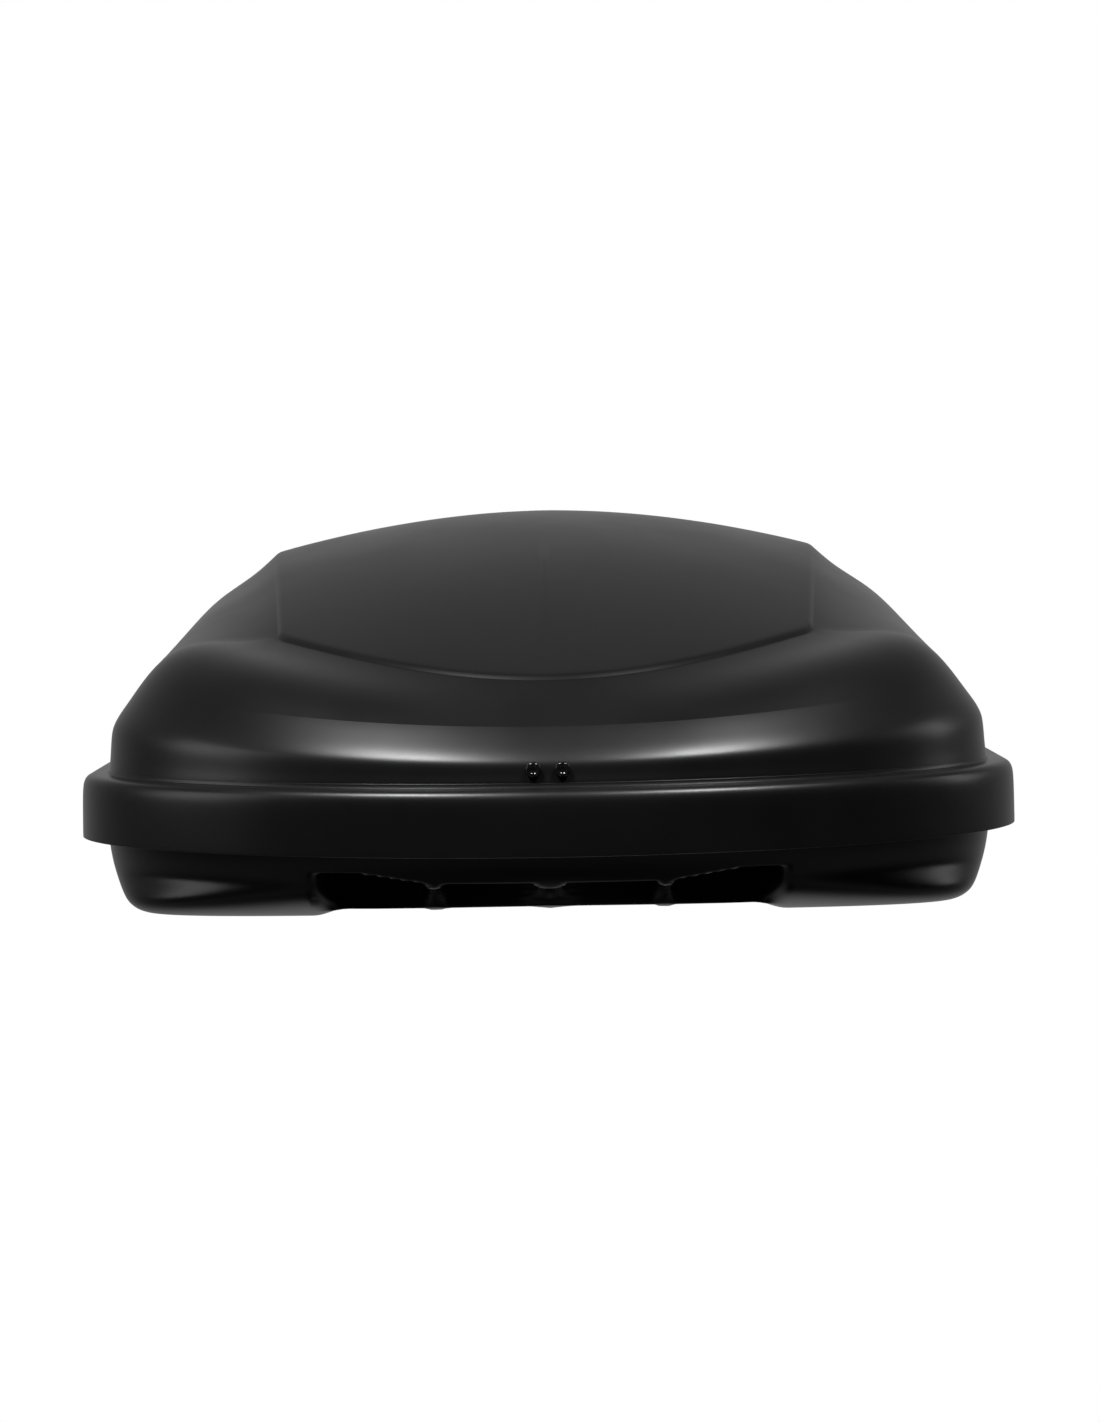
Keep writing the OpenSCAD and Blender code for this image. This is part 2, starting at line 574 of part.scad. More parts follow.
base_shell();
rim_seal();
floor_rail(-1);  // floor_rail_left
floor_rail(1);  // floor_rail_right
rail_rivets();
hinge_bracket();
hinge_pin();
bracket_rivets();
strut_base_stud(-1);  // strut_base_stud_left
strut_base_stud(1);  // strut_base_stud_right
latch_keeper(-1);  // latch_keeper_left
latch_keeper(1);  // latch_keeper_right
clamp_at(-1, -1) clamp_plate();  // clamp_plate_front_left
clamp_at(1, -1) clamp_plate();  // clamp_plate_front_right
clamp_at(-1, 1) clamp_plate();  // clamp_plate_rear_left
clamp_at(1, 1) clamp_plate();  // clamp_plate_rear_right
strap_anchors();
load_strap(-1);  // load_strap_front
load_strap(1);  // load_strap_rear
buckle_frame(-1);  // buckle_frame_front
buckle_frame(1);  // buckle_frame_rear
lid_shell();
lid_stiffener();
hinge_strap();
hinge_rivets();
strut_lid_stud(-1);  // strut_lid_stud_left
strut_lid_stud(1);  // strut_lid_stud_right
lock_housing();
rod_guide(-1);  // rod_guide_left
rod_guide(1);  // rod_guide_right
strut_cylinder(-1);  // strut_cylinder_left
strut_cylinder(1);  // strut_cylinder_right
strut_rod(-1);  // strut_rod_left
strut_rod(1);  // strut_rod_right
lock_plug();
lock_pinion();
key();
latch_rod(-1);  // latch_rod_left
latch_rod(1);  // latch_rod_right
clamp_at(-1, -1) ubolt();  // ubolt_front_left
clamp_at(1, -1) ubolt();  // ubolt_front_right
clamp_at(-1, 1) ubolt();  // ubolt_rear_left
clamp_at(1, 1) ubolt();  // ubolt_rear_right
knob_at(-1, -1, -1);  // knob_front_left_a
knob_at(-1, -1, 1);  // knob_front_left_b
knob_at(1, -1, -1);  // knob_front_right_a
knob_at(1, -1, 1);  // knob_front_right_b
knob_at(-1, 1, -1);  // knob_rear_left_a
knob_at(-1, 1, 1);  // knob_rear_left_b
knob_at(1, 1, -1);  // knob_rear_right_a
knob_at(1, 1, 1);  // knob_rear_right_b
buckle_lever(-1);  // buckle_lever_front
buckle_lever(1);  // buckle_lever_rear
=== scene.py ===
"""Roof cargo box: dense shells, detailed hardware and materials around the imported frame."""
import json
import math

import bpy
import numpy as np
from mathutils import Matrix, Vector


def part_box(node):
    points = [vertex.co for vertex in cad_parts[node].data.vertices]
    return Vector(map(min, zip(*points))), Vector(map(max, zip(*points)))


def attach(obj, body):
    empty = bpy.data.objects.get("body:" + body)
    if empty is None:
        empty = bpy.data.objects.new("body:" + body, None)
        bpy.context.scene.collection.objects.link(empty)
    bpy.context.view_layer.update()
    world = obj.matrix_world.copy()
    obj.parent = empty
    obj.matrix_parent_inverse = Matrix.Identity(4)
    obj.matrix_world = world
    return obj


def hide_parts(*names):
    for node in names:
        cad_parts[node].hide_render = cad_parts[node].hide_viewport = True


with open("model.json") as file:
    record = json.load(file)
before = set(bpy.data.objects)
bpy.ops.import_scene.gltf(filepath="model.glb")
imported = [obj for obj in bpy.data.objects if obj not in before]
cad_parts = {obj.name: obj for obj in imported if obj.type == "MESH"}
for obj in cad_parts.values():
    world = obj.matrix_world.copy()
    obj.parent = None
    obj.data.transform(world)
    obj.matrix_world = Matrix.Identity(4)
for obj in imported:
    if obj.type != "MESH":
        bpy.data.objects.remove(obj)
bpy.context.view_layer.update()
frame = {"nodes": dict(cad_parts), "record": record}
MM = 0.001

# ---------------------------------------------------------------- sizes, from the frame
lid_lo, lid_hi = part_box("lid_shell")
HALF_W = lid_hi.x / MM
NOSE_Y = lid_lo.y / MM
TAIL_Y = lid_hi.y / MM
LIP_Z = lid_lo.z / MM
CROWN_Z = 400.0
WALL = 3.4
NOSE_LEN, TAIL_LEN = 360.0, 150.0
NOSE_MID, TAIL_MID = NOSE_Y + NOSE_LEN, TAIL_Y - TAIL_LEN
NOSE_EXP, TAIL_EXP = 1.9, 2.8

# Points in each stretch of half a ring
NOSE_PTS, SIDE_PTS, TAIL_PTS = 150, 60, 90


def lerp(a, b, t):
    return a + (b - a) * t


def smooth(x, lo, hi):
    """0 below lo, 1 above hi, and an even curve between."""
    t = np.clip((x - lo) / (hi - lo), 0.0, 1.0)
    return t * t * (3.0 - 2.0 * t)


# ---------------------------------------------------------------- rings, in millimetres
S_NOSE = np.arange(NOSE_PTS) / NOSE_PTS
S_SIDE = np.arange(SIDE_PTS) / SIDE_PTS
S_TAIL = np.arange(TAIL_PTS + 1) / TAIL_PTS


def superellipse(s, a, depth, exponent):
    """Quarter outline from the tip (0) to the side (1): x, and the distance from the middle."""
    f = s * math.pi / 2
    return a * np.sin(f) ** (2 / exponent), depth * np.cos(f) ** (2 / exponent)


def half_ring(a, y0, e0, y1, e1=TAIL_EXP):
    nx, nd = superellipse(S_NOSE, a, NOSE_MID - y0, e0)
    tx, td = superellipse(1.0 - S_TAIL, a, y1 - TAIL_MID, e1)
    x = np.concatenate([nx, np.full(SIDE_PTS, a), tx])
    y = np.concatenate([NOSE_MID - nd, lerp(NOSE_MID, TAIL_MID, S_SIDE), TAIL_MID + td])
    return np.stack([x, y, np.zeros_like(x)], axis=1)


def full_ring(half):
    other = half[-2:0:-1] * (-1.0, 1.0, 1.0)
    return np.concatenate([half, other])


def row_ring(side, side_z, nose, nose_z, tail, tail_z, exponent=NOSE_EXP):
    """Ring at an inset from the rim and a height, each given at the side, the nose and the tail."""
    a = HALF_W - side
    h = half_ring(a, NOSE_Y + nose, exponent, TAIL_Y - tail)
    q = (h[:, 0] / a) ** 2
    ends = np.where(h[:, 1] < NOSE_MID, nose_z, tail_z)
    h[:, 2] = np.where((h[:, 1] < NOSE_MID) | (h[:, 1] > TAIL_MID), lerp(ends, side_z, q), side_z)
    return full_ring(h)


def flat_ring(inset, z):
    return row_ring(inset, z, inset, z, inset, z)


# ---------------------------------------------------------------- roof panel
PANEL_HW, PANEL_SETBACK, PANEL_BOW, CROWN = 300.0, 145.0, 180.0, 42.0
PANEL_Y0 = NOSE_Y + PANEL_SETBACK
SPINE_FRONT, SPINE_REAR = -50.0, 150.0
PANEL_RISE, PANEL_FALL = 160.0, 38.0
PANEL_TAIL, PANEL_TAIL_MID = 692.0, 560.0
CORNER_S, CORNER_U = 8.0 / 11.0, 0.965


def spine_z(y):
    front = np.clip((SPINE_FRONT - y) / (SPINE_FRONT - PANEL_Y0), 0.0, None)
    rear = np.clip((y - SPINE_REAR) / 550.0, 0.0, None)
    return CROWN_Z - PANEL_RISE * front ** 1.7 - PANEL_FALL * rear ** 2


def roof_z(x, y):
    return spine_z(y) - CROWN * (x / PANEL_HW) ** 2


def panel_ring(grow, drop):
    """The panel's outline, grown outward and dropped below the roof's surface."""
    a, y0, b, u = PANEL_HW + grow, PANEL_Y0 - grow, PANEL_BOW, CORNER_U
    t = np.minimum(S_NOSE / CORNER_S, 1.0) * u
    c = np.clip((S_NOSE - CORNER_S) / (1.0 - CORNER_S), 0.0, 1.0)
    end_y = y0 + b * 1.07
    cx = lerp(lerp(a * u, a, c), a, c)
    cy = lerp(lerp(y0 + b * u * u, y0 + b, c), lerp(y0 + b, end_y, c), c)
    in_corner = S_NOSE > CORNER_S
    nx = np.where(in_corner, cx, a * t)
    ny = np.where(in_corner, cy, y0 + b * t * t)
    tx, td = superellipse(1.0 - S_TAIL, a, PANEL_TAIL + grow - PANEL_TAIL_MID, 3.4)
    x = np.concatenate([nx, np.full(SIDE_PTS, a), tx])
    y = np.concatenate([ny, lerp(end_y, PANEL_TAIL_MID, S_SIDE), PANEL_TAIL_MID + td])
    x = x * (1.0 - 0.095 * np.clip((-100.0 - y) / 375.0, 0.0, 1.0))
    return full_ring(np.stack([x, y, roof_z(x, y) - drop], axis=1))


def roof_ring(edge, s):
    x, y = edge[:, 0] * (1.0 - s), edge[:, 1] * (1.0 - 0.45 * s)
    return np.stack([x, y, roof_z(x, y)], axis=1)


def facet_ring(low, high, t, swell=26.0):
    p = lerp(low, high, t)
    q = np.where(p[:, 1] > 600.0, 0.4, (np.abs(low[:, 0]) / (HALF_W - 60.0)) ** 2)
    p[:, 2] += swell * q * math.sin(math.pi * t ** 0.62) ** 1.7
    return p


# ---------------------------------------------------------------- skinning
def normals_of(grid):
    du = np.roll(grid, -1, axis=1) - np.roll(grid, 1, axis=1)
    dv = np.empty_like(grid)
    dv[1:-1] = grid[2:] - grid[:-2]
    dv[0] = grid[1] - grid[0]
    dv[-1] = grid[-1] - grid[-2]
    n = np.cross(du, dv)
    return n / np.maximum(np.linalg.norm(n, axis=2, keepdims=True), 1e-9)


def spline(rows, repeats, spans):
    """Uniform cubic B-spline through the rows; a repeated row makes a tighter bend."""
    ctrl = [rows[0]] * 2
    for r, k in zip(rows, repeats):
        ctrl += [r] * k
    ctrl += [rows[-1]] * 2
    ctrl = np.array(ctrl)
    out = []
    for i in range(len(ctrl) - 3):
        a, b, c, d = ctrl[i:i + 4]
        if np.abs(a - d).max() < 1e-6:
            continue
        for k in range(spans):
            t = k / spans
            out.append(((1 - t) ** 3 * a + (3 * t ** 3 - 6 * t ** 2 + 4) * b
                        + (-3 * t ** 3 + 3 * t ** 2 + 3 * t + 1) * c + t ** 3 * d) / 6)
    out.append(rows[-1])
    grid = np.array(out)
    keep = [0] + [i for i in range(1, len(grid)) if np.abs(grid[i] - grid[i - 1]).max() > 0.02]
    return grid[keep]


def mesh_object(name, verts_mm, faces, material):
    mesh = bpy.data.meshes.new(name)
    mesh.from_pydata([tuple(v) for v in np.asarray(verts_mm) * MM], [], faces)
    mesh.materials.append(material)
    mesh.update()
    for p in mesh.polygons:
        p.use_smooth = True
    obj = bpy.data.objects.new(name, mesh)
    bpy.context.collection.objects.link(obj)
    return obj


def cap(first, n, flip):
    """A strip of faces that joins each point of a closed ring to its mirror image."""
    faces = []
    for j in range(n // 2):
        a, b = first + j, first + j + 1
        c, d = first + (n - j - 1) % n, first + (n - j) % n
        f = [a, b, c] if j == 0 else [a, b, d] if j == n // 2 - 1 else [a, b, c, d]
        faces.append(f[::-1] if flip else f)
    return faces


def shell_object(name, outer, inner, closed_last, material):
    """Outer and inner grids, joined at the open ring and capped at the other."""
    n = outer.shape[1]
    faces = []
    for grid, base, flip in ((outer, 0, True), (inner, outer.shape[0] * n, False)):
        for i in range(grid.shape[0] - 1):
            for j in range(n):
                a, b = base + i * n + j, base + i * n + (j + 1) % n
                f = [a, b, b + n, a + n]
                faces.append(f if flip else f[::-1])
    start = outer.shape[0] * n
    o = 0 if closed_last else (outer.shape[0] - 1) * n
    i0 = start if closed_last else start + (inner.shape[0] - 1) * n
    for j in range(n):
        k = (j + 1) % n
        f = [o + j, i0 + j, i0 + k, o + k]
        faces.append(f if closed_last else f[::-1])
    shut_o = (outer.shape[0] - 1) * n if closed_last else 0
    shut_i = start + ((inner.shape[0] - 1) * n if closed_last else 0)
    faces += cap(shut_o, n, not closed_last)
    faces += cap(shut_i, n, closed_last)
    verts = np.concatenate([outer.reshape(-1, 3), inner.reshape(-1, 3)])
    return mesh_object(name, verts, faces, material)


# ---------------------------------------------------------------- materials
def new_material(name, color, roughness, metallic=0.0):
    m = bpy.data.materials.new(name)
    m.use_nodes = True
    p = m.node_tree.nodes["Principled BSDF"]
    p.inputs["Base Color"].default_value = (*color, 1.0)
    p.inputs["Roughness"].default_value = roughness
    p.inputs["Metallic"].default_value = metallic
    return m, m.node_tree, p


def node(tree, kind, **settings):
    n = tree.nodes.new(kind)
    for k, v in settings.items():
        if k in n.inputs:
            n.inputs[k].default_value = v
        else:
            setattr(n, k, v)
    return n


def ramp(tree, source, low, high, lo_value, hi_value):
    r = node(tree, "ShaderNodeMapRange")
    r.inputs["From Min"].default_value = low
    r.inputs["From Max"].default_value = high
    r.inputs["To Min"].default_value = lo_value
    r.inputs["To Max"].default_value = hi_value
    tree.links.new(source, r.inputs["Value"])
    return r.outputs["Result"]


def add_bump(tree, shader, height, distance, strength=1.0, under=None):
    b = node(tree, "ShaderNodeBump")
    b.inputs["Strength"].default_value = strength
    b.inputs["Distance"].default_value = distance
    tree.links.new(height, b.inputs["Height"])
    if under is not None:
        tree.links.new(under, b.inputs["Normal"])
    tree.links.new(b.outputs["Normal"], shader.inputs["Normal"])
    return b.outputs["Normal"]


def noise(tree, scale, detail=2.0, rough=0.5):
    t = node(tree, "ShaderNodeTexCoord")
    n = node(tree, "ShaderNodeTexNoise")
    n.inputs["Scale"].default_value = scale
    n.inputs["Detail"].default_value = detail
    n.inputs["Roughness"].default_value = rough
    tree.links.new(t.outputs["Object"], n.inputs["Vector"])
    return n.outputs["Fac"]


def tone(tree, shader, fac, dark, light):
    """Base colour that wanders between two tones."""
    m = node(tree, "ShaderNodeMix", data_type="RGBA")
    m.inputs[6].default_value = (*dark, 1.0)
    m.inputs[7].default_value = (*light, 1.0)
    tree.links.new(fac, m.inputs[0])
    tree.links.new(m.outputs[2], shader.inputs["Base Color"])


def shell_plastic():
    """Satin black vacuum-formed ABS: fine haircell grain, a little uneven in its gloss."""
    m, t, p = new_material("satin_black_abs", (0.006, 0.006, 0.0063), 0.4)
    grain = noise(t, 900.0, 2.0, 0.6)
    drift = noise(t, 6.0, 3.0, 0.55)
    shade = ramp(t, drift, 0.3, 0.7, 0.0, 1.0)
    tone(t, p, shade, (0.0050, 0.0050, 0.0053), (0.0072, 0.0072, 0.0076))
    t.links.new(ramp(t, drift, 0.3, 0.7, 0.31, 0.36), p.inputs["Roughness"])
    waves = noise(t, 14.0, 2.0, 0.5)
    soft = add_bump(t, p, waves, 0.0006, 0.25)
    add_bump(t, p, grain, 0.00012, 0.35, soft)
    return m


def moulded_plastic():
    m, t, p = new_material("moulded_black_plastic", (0.02, 0.02, 0.021), 0.5)
    fine = noise(t, 1500.0, 2.0, 0.6)
    drift = noise(t, 30.0, 2.0, 0.5)
    tone(t, p, drift, (0.016, 0.016, 0.017), (0.026, 0.026, 0.028))
    t.links.new(ramp(t, drift, 0.3, 0.7, 0.44, 0.56), p.inputs["Roughness"])
    add_bump(t, p, fine, 0.0001, 0.4)
    return m


def seal_rubber():
    m, t, p = new_material("seal_rubber", (0.012, 0.012, 0.012), 0.75)
    fine = noise(t, 700.0, 3.0, 0.6)
    tone(t, p, noise(t, 40.0), (0.010, 0.010, 0.010), (0.020, 0.020, 0.020))
    add_bump(t, p, fine, 0.0002, 0.4)
    return m


def metal(name, dark, light, rough_lo, rough_hi, grain=220.0, metallic=1.0):
    m, t, p = new_material(name, light, rough_lo, metallic)
    cloud = noise(t, 60.0, 4.0, 0.6)
    tone(t, p, ramp(t, cloud, 0.3, 0.7, 0.0, 1.0), dark, light)
    gloss = ramp(t, noise(t, grain, 3.0, 0.6), 0.3, 0.7, rough_lo, rough_hi)
    t.links.new(gloss, p.inputs["Roughness"])
    add_bump(t, p, noise(t, grain * 6, 2.0, 0.5), 0.00004, 0.4)
    return m


def webbing_fabric():
    """Polyester webbing: a plain weave of 1.2 mm picks."""
    m, t, p = new_material("black_webbing", (0.02, 0.02, 0.022), 0.8)
    coord = node(t, "ShaderNodeTexCoord")
    waves = []
    for direction in ("X", "Y"):
        w = node(t, "ShaderNodeTexWave", wave_type="BANDS", bands_direction=direction)
        w.inputs["Scale"].default_value = 260.0
        w.inputs["Distortion"].default_value = 0.4
        t.links.new(coord.outputs["Object"], w.inputs["Vector"])
        waves.append(w.outputs["Fac"])
    mult = node(t, "ShaderNodeMath", operation="MULTIPLY")
    t.links.new(waves[0], mult.inputs[0])
    t.links.new(waves[1], mult.inputs[1])
    tone(t, p, mult.outputs[0], (0.010, 0.010, 0.011), (0.045, 0.045, 0.048))
    p.inputs["Sheen Weight"].default_value = 0.3
    add_bump(t, p, mult.outputs[0], 0.0004, 0.8)
    return m


def sewing_thread():
    m, t, p = new_material("grey_thread", (0.12, 0.12, 0.125), 0.6)
    tone(t, p, noise(t, 900.0, 3.0, 0.6), (0.07, 0.07, 0.075), (0.17, 0.17, 0.175))
    add_bump(t, p, noise(t, 2500.0, 2.0, 0.5), 0.0001, 0.5)
    return m


MATERIALS = {
    "shell_plastic": shell_plastic(),
    "black_plastic": moulded_plastic(),
    "seal_rubber": seal_rubber(),
    "rail_aluminium": metal("mill_aluminium", (0.55, 0.56, 0.57), (0.72, 0.73, 0.74), 0.32, 0.46),
    "zinc_steel": metal("zinc_steel", (0.42, 0.42, 0.43), (0.62, 0.62, 0.64), 0.28, 0.42),
    "dark_steel": metal("black_painted_steel", (0.012, 0.012, 0.013), (0.022, 0.022, 0.024),
                        0.3, 0.42, metallic=0.0),
    "chrome_rod": metal("polished_rod", (0.70, 0.70, 0.72), (0.80, 0.80, 0.82), 0.08, 0.16),
    "brass": metal("die_cast_brass", (0.50, 0.38, 0.18), (0.66, 0.52, 0.28), 0.3, 0.45),
    "webbing": webbing_fabric(),
    "stitching": sewing_thread(),
}

for row in frame["record"]["subparts"]:
    obj = frame["nodes"][row["node"]]
    obj.data.materials.clear()
    obj.data.materials.append(MATERIALS[row["material_slot"]])

# ---------------------------------------------------------------- lid shell
# Inset from the rim, height above the lip, and how many times the row counts
SKIRT_ROWS = [
    (1.2, 0.0, 1), (0.1, 0.3, 2), (0.0, 3.0, 1), (0.4, 35.0, 1), (0.9, 50.0, 1), (2.2, 57.5, 1),
    (5.5, 62.6, 1), (10.5, 64.7, 1), (17.0, 65.0, 1), (24.5, 65.0, 1), (26.6, 65.2, 2),
    (27.4, 67.2, 1), (27.6, 68.6, 2), (28.7, 69.0, 2), (28.9, 71.0, 1),
]
# Inset and height at the side, the nose and the tail, and how many times the row counts
SHOULDER_ROWS = [
    ((30.2, 156, 30.4, 150, 30.2, 156), 1),
    ((31.5, 178, 31.4, 159, 31.5, 178), 1),
    ((34.0, 187, 34.5, 164.5, 32.8, 186), 1),
    ((39.5, 197, 40.5, 172.0, 36.0, 194), 1),
    ((48.5, 209, 48.5, 180.5, 41.0, 204), 1),
    ((56.0, 219.5, 56.5, 188.8, 46.5, 212), 1),
    ((60.0, 225, 62.0, 194.2, 50.0, 218), 3),
]


def lid_rows():
    rows, repeats = [], []
    for inset, up, k in SKIRT_ROWS:
        rows.append(flat_ring(inset, LIP_Z + up))
        repeats.append(k)
    for values, k in SHOULDER_ROWS:
        rows.append(row_ring(*values))
        repeats.append(k)
    crease, foot = rows[-1], panel_ring(4.0, 3.0)
    for t in (0.07, 0.18, 0.32, 0.5, 0.68, 0.84):
        rows.append(facet_ring(crease, foot, t))
        repeats.append(1)
    for ring, k in ((foot, 2), (panel_ring(1.0, 1.0), 1), (panel_ring(-1.5, 0.0), 1),
                    (panel_ring(-7.0, 0.0), 1)):
        rows.append(ring)
        repeats.append(k)
    edge = rows[-1]
    for s in (0.1, 0.3, 0.5, 0.7, 0.85, 0.97):
        rows.append(roof_ring(edge, s))
        repeats.append(1)
    return rows, repeats


def spine_ridge(grid):
    """A low rib along the roof's middle that fades out towards both ends."""
    x, y = grid[..., 0], grid[..., 1]
    rib = np.cos(np.clip(np.abs(x) / 8.0, 0.0, 1.0) * math.pi) * 0.5 + 0.5
    fade = smooth(y, -600.0, -330.0) * (1.0 - smooth(y, 60.0, 330.0))
    on_roof = smooth(grid[..., 2], 255.0, 280.0)
    grid[..., 2] += 1.5 * rib * fade * on_roof
    return grid


rows, repeats = lid_rows()
lid_inner_rows = list(np.array(rows) - WALL * normals_of(np.array(rows)))
lid_outer = spine_ridge(spline(rows, repeats, 4))
lid_inner = spline(lid_inner_rows, [1] * len(rows), 2)
lid_obj = shell_object("lid_skin", lid_outer, lid_inner, True, MATERIALS["shell_plastic"])
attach(lid_obj, "lid")
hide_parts("lid_shell")

# ---------------------------------------------------------------- base shell
CENTRE_HW, CENTRE_Z = 226.0, 6.0
BASE_ROWS = [
    ((HALF_W - 417, 0, 205, 0, 112, 0, 4.5), 2),
    ((57, 2.5, 175, 4.5, 101, 3, 3.8), 1),
    ((48, 9, 138, 14, 92, 9, 3.2), 1),
    ((42.5, 17, 110, 21, 81, 17, 2.7), 1),
    ((38, 25, 86, 28, 72, 25, 2.3), 1),
    ((34.5, 33, 69, 37, 65, 33, 2.05), 1),
    ((31.5, 41, 58, 46, 60, 41), 1),
    ((28.5, 56, 49, 58, 52, 56), 1),
    ((26.5, 72, 43, 72, 46, 72), 1),
    ((26.2, 95, 37, 95, 38.5, 95), 1),
    ((26, 116, 31.8, 116, 31.8, 116), 1),
    ((25.4, 122.5, 30.2, 122.5, 30.2, 122.5), 1),
    ((21.5, 125.8, 26, 125.8, 26, 125.8), 1),
    ((15, 126.3, 16, 126.3, 16, 126.3), 1),
    ((8.2, 126.4, 8.2, 126.4, 8.2, 126.4), 1),
]


def raise_centre(ring, z):
    """The floor's middle is raised between the two runners."""
    ring = ring.copy()
    ring[:, 2] = z * (1.0 - smooth(np.abs(ring[:, 0]), CENTRE_HW - 4.0, CENTRE_HW + 12.0))
    return ring


def centre_ring(a, grow):
    return full_ring(half_ring(a, -540.0 - grow, 4.5, 676.0 + grow, 4.5))


def base_rows():
    rows = [raise_centre(centre_ring(60.0, -180.0), CENTRE_Z),
            raise_centre(centre_ring(CENTRE_HW - 6.0, -6.0), CENTRE_Z),
            raise_centre(centre_ring(CENTRE_HW + 12.0, 6.0), CENTRE_Z)]
    rows.append(raise_centre(row_ring(*BASE_ROWS[0][0]), CENTRE_Z))
    rows += [row_ring(*values) for values, _ in BASE_ROWS[1:]]
    return rows


def nose_pockets(grid, inward):
    """Four recesses under the nose with upright back walls, parted by three ribs."""
    x, y, z = (grid[..., k].copy() for k in range(3))
    ax = np.abs(x)
    rib = np.maximum(1.0 - smooth(ax, 8.0 - inward, 20.0 - inward),
                     1.0 - smooth(np.abs(ax - 113.0), 4.0 - inward, 13.0 - inward))
    edge_z = 43.0 + inward + 10.5 * smooth(ax, 105.0, 205.0) - 6.0 * rib
    sides = 1.0 - smooth(ax, 200.0 + inward, 236.0 + inward)
    front = 1.0 - smooth(y, -560.0, -500.0)
    edge_y = np.array([np.interp(44.0, z[:, j], y[:, j]) for j in range(grid.shape[1])])
    wall_y = np.maximum(y, edge_y[None, :] + 80.0 + inward)
    below = 1.0 - smooth(z, edge_z - 2.5, edge_z)
    grid[..., 1] = lerp(y, wall_y, (1.0 - 0.3 * rib) * sides * below * front)
    floor_z = CENTRE_Z + inward + (6.0 - 3.5 * rib) * front * sides
    grid[..., 2] = np.maximum(z, lerp(z, floor_z, sides * (y < -500.0)))
    return grid


def cut(obj, boxes):
    """Cuts boxes, each a low and a high corner in millimetres, out of a mesh."""
    verts, faces = [], []
    for k, (lo, hi) in enumerate(boxes):
        verts += [(x, y, z) for x in (lo[0], hi[0]) for y in (lo[1], hi[1]) for z in (lo[2], hi[2])]
        faces += [[8 * k + i for i in f] for f in
                  ((0, 1, 3, 2), (4, 6, 7, 5), (0, 4, 5, 1), (2, 3, 7, 6), (0, 2, 6, 4),
                   (1, 5, 7, 3))]
    tool = mesh_object("cutter", verts, faces, obj.data.materials[0])
    m = obj.modifiers.new("cut", "BOOLEAN")
    m.object = tool
    m.solver = "EXACT"
    graph = bpy.context.evaluated_depsgraph_get()
    obj.data = bpy.data.meshes.new_from_object(obj.evaluated_get(graph))
    obj.modifiers.clear()
    bpy.data.objects.remove(tool)


rows = base_rows()
base_inner_rows = list(np.array(rows) - WALL * normals_of(np.array(rows)))
bends = [1, 1, 1] + [k for _, k in BASE_ROWS]
base_outer = nose_pockets(spline(rows, bends, 6), 0.0)
base_inner = nose_pockets(spline(base_inner_rows, bends, 4), WALL)
base_obj = shell_object("base_skin", base_outer, base_inner, False, MATERIALS["shell_plastic"])
CLAMPS = [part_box(n) for n in frame["nodes"] if n.startswith("clamp_plate")]
slots = [((c.x / MM - 7, c.y / MM - 53, -3), (c.x / MM + 7, c.y / MM + 53, 8))
         for c in ((lo + hi) / 2 for lo, hi in CLAMPS)]
cut(base_obj, slots + [((-32, NOSE_Y - 5, 119), (32, NOSE_Y + 31, 139))])
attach(base_obj, "base")
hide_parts("base_shell")

# ---------------------------------------------------------------- hardware
def grid_object(name, rings, material, closed=False, loop=True):
    """Skins a stack of rings; closed joins last to first, loop joins each ring's ends."""
    rings = np.array(rings)
    m, n = rings.shape[:2]
    faces = []
    for i in range(m if closed else m - 1):
        for j in range(n if loop else n - 1):
            k, up = (j + 1) % n, (i + 1) % m
            faces.append([i * n + j, i * n + k, up * n + k, up * n + j])
    if not closed:
        faces += [list(range(n))[::-1], [(m - 1) * n + j for j in range(n)]]
    return mesh_object(name, rings.reshape(-1, 3), faces, material)


def joined(name, parts):
    """One object out of several meshes that ride together."""
    with bpy.context.temp_override(active_object=parts[0], selected_editable_objects=parts):
        bpy.ops.object.join()
    parts[0].name = name
    return parts[0]


def stand_in(obj, node_name, body):
    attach(obj, body)
    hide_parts(node_name)


def soften(obj, width, sharp):
    """Rounds every edge sharper than an angle in degrees."""
    bevel = obj.modifiers.new("edges", "BEVEL")
    bevel.width = width
    bevel.segments = 2
    bevel.limit_method = "ANGLE"
    bevel.angle_limit = math.radians(sharp)


def centre_of(node_name):
    lo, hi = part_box(node_name)
    return (lo + hi) / 2 / MM


ANGLES = np.linspace(0.0, 2.0 * math.pi, 48, endpoint=False)


def turned(name, profile, origin, axis, material):
    """Turns a profile of (radius, distance along the axis) about an axis, X, Y or Z."""
    rings = []
    for r, h in profile:
        a, b, c = r * np.cos(ANGLES), r * np.sin(ANGLES), np.full(len(ANGLES), float(h))
        order = {"X": (c, a, b), "Y": (b, c, a), "Z": (a, b, c)}[axis]
        rings.append(np.stack(order, axis=1) + origin)
    return grid_object(name, rings, material)


